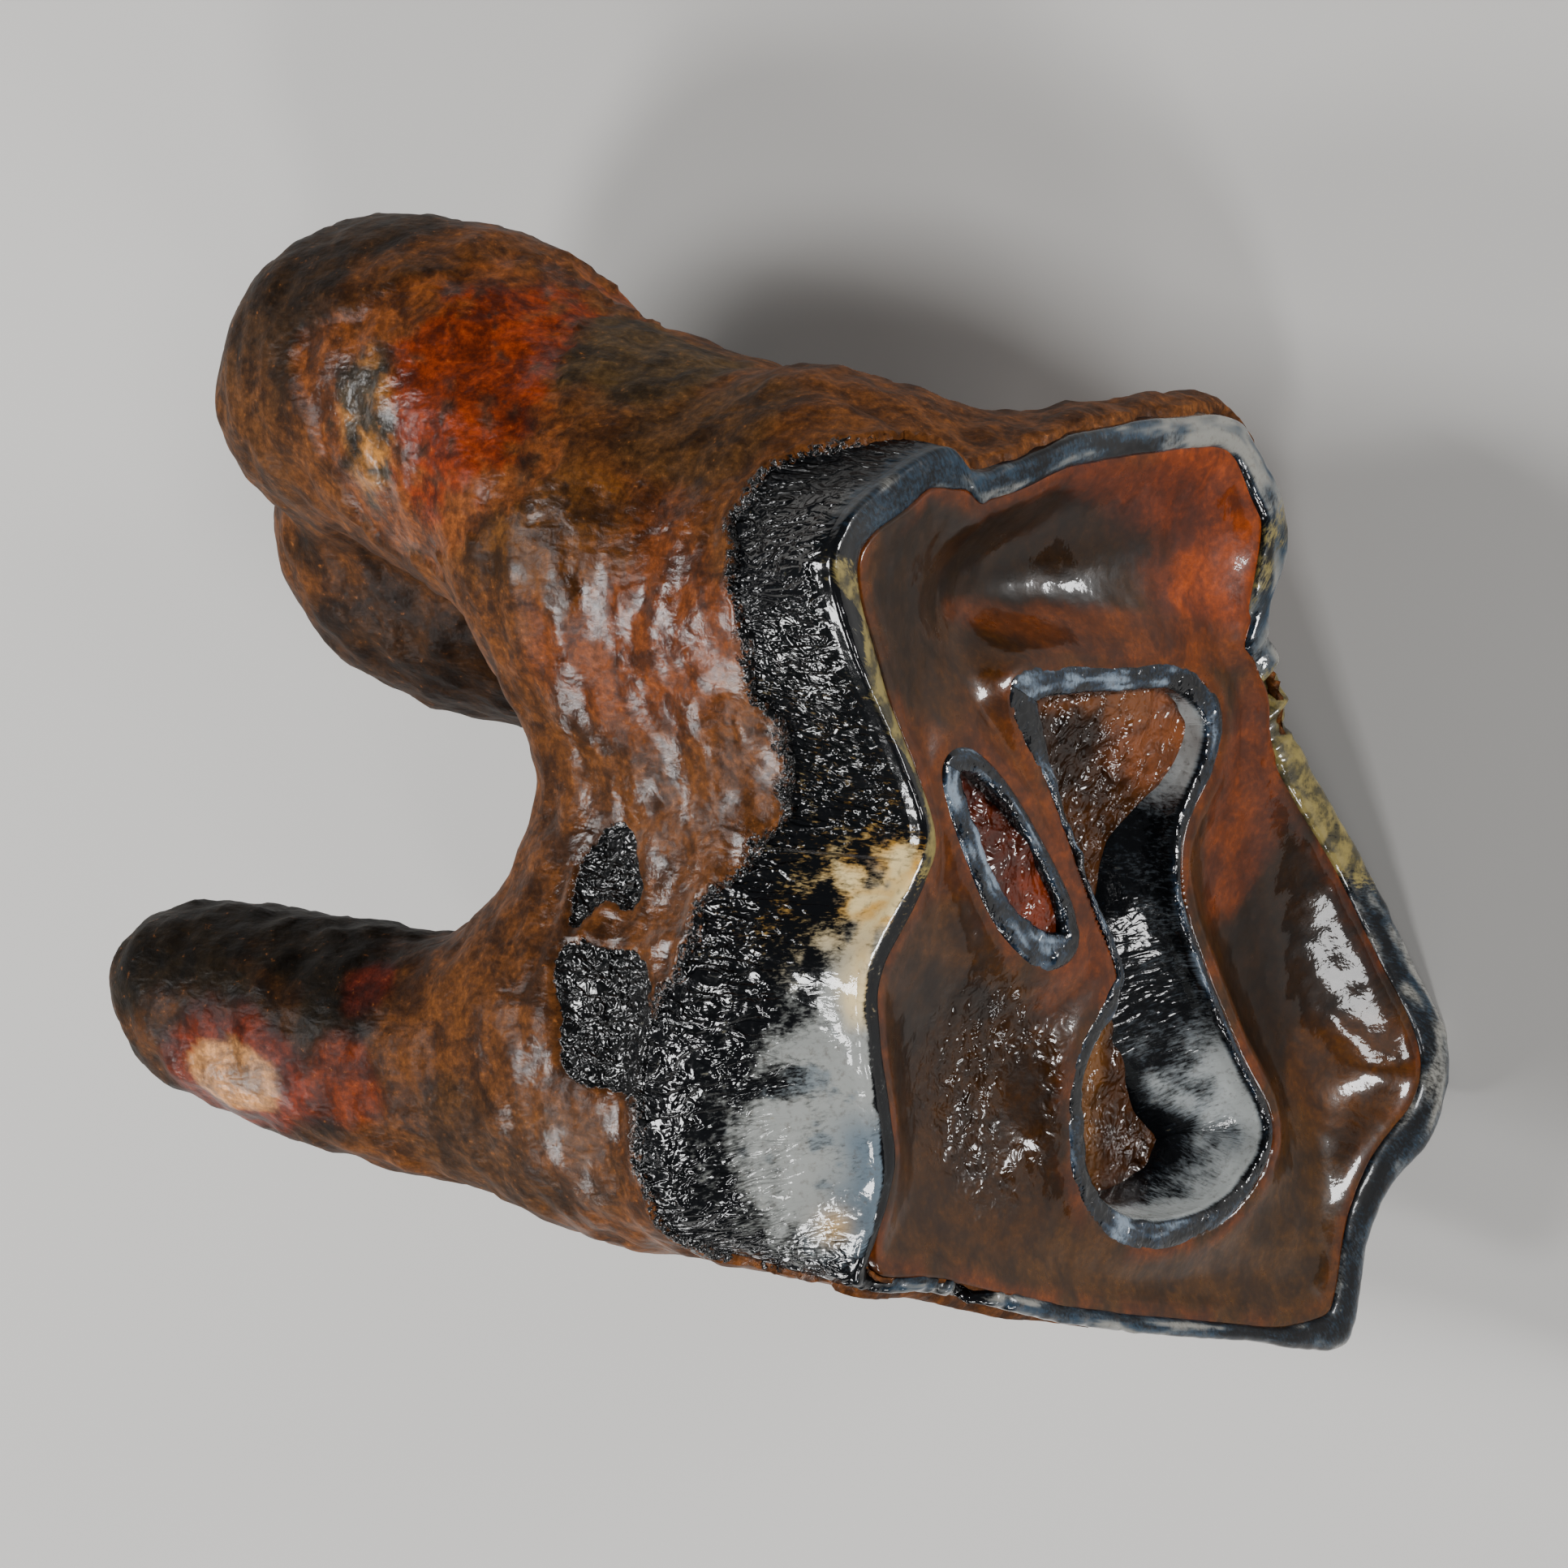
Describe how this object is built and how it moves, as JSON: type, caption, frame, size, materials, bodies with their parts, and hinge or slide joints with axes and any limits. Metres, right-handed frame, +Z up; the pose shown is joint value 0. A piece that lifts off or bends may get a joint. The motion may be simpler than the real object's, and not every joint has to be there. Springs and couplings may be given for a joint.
{
  "type": "fossil woolly rhinoceros molar",
  "caption": "Worn fossil upper molar of a woolly rhinoceros with its roots, lying on its cheek side.",
  "frame": {"origin": "centre of the bounding box in X and Y, on the floor plane the tooth lies on", "axes": "+Z up, -Y towards the side that shows both the chewing surface and the tongue side, +X to the right of that view"},
  "size_m": [0.0896, 0.0724, 0.0525],
  "materials": {
    "enamel": "polished",
    "dentine": "polished",
    "infill": "glossy",
    "cementum": "satin",
    "root": "satin"
  },
  "bodies": {
    "root": {"crown_enamel": "enamel", "crown_dentine": "dentine", "fossette_enamel": "enamel", "fossette_fill": "infill", "valley_enamel": "enamel", "valley_fill": "infill", "neck": "cementum", "root_distolingual": "cementum", "root_distobuccal": "root", "root_mesiolingual": "root", "root_mesiobuccal": "root"}
  },
  "joints": []
}
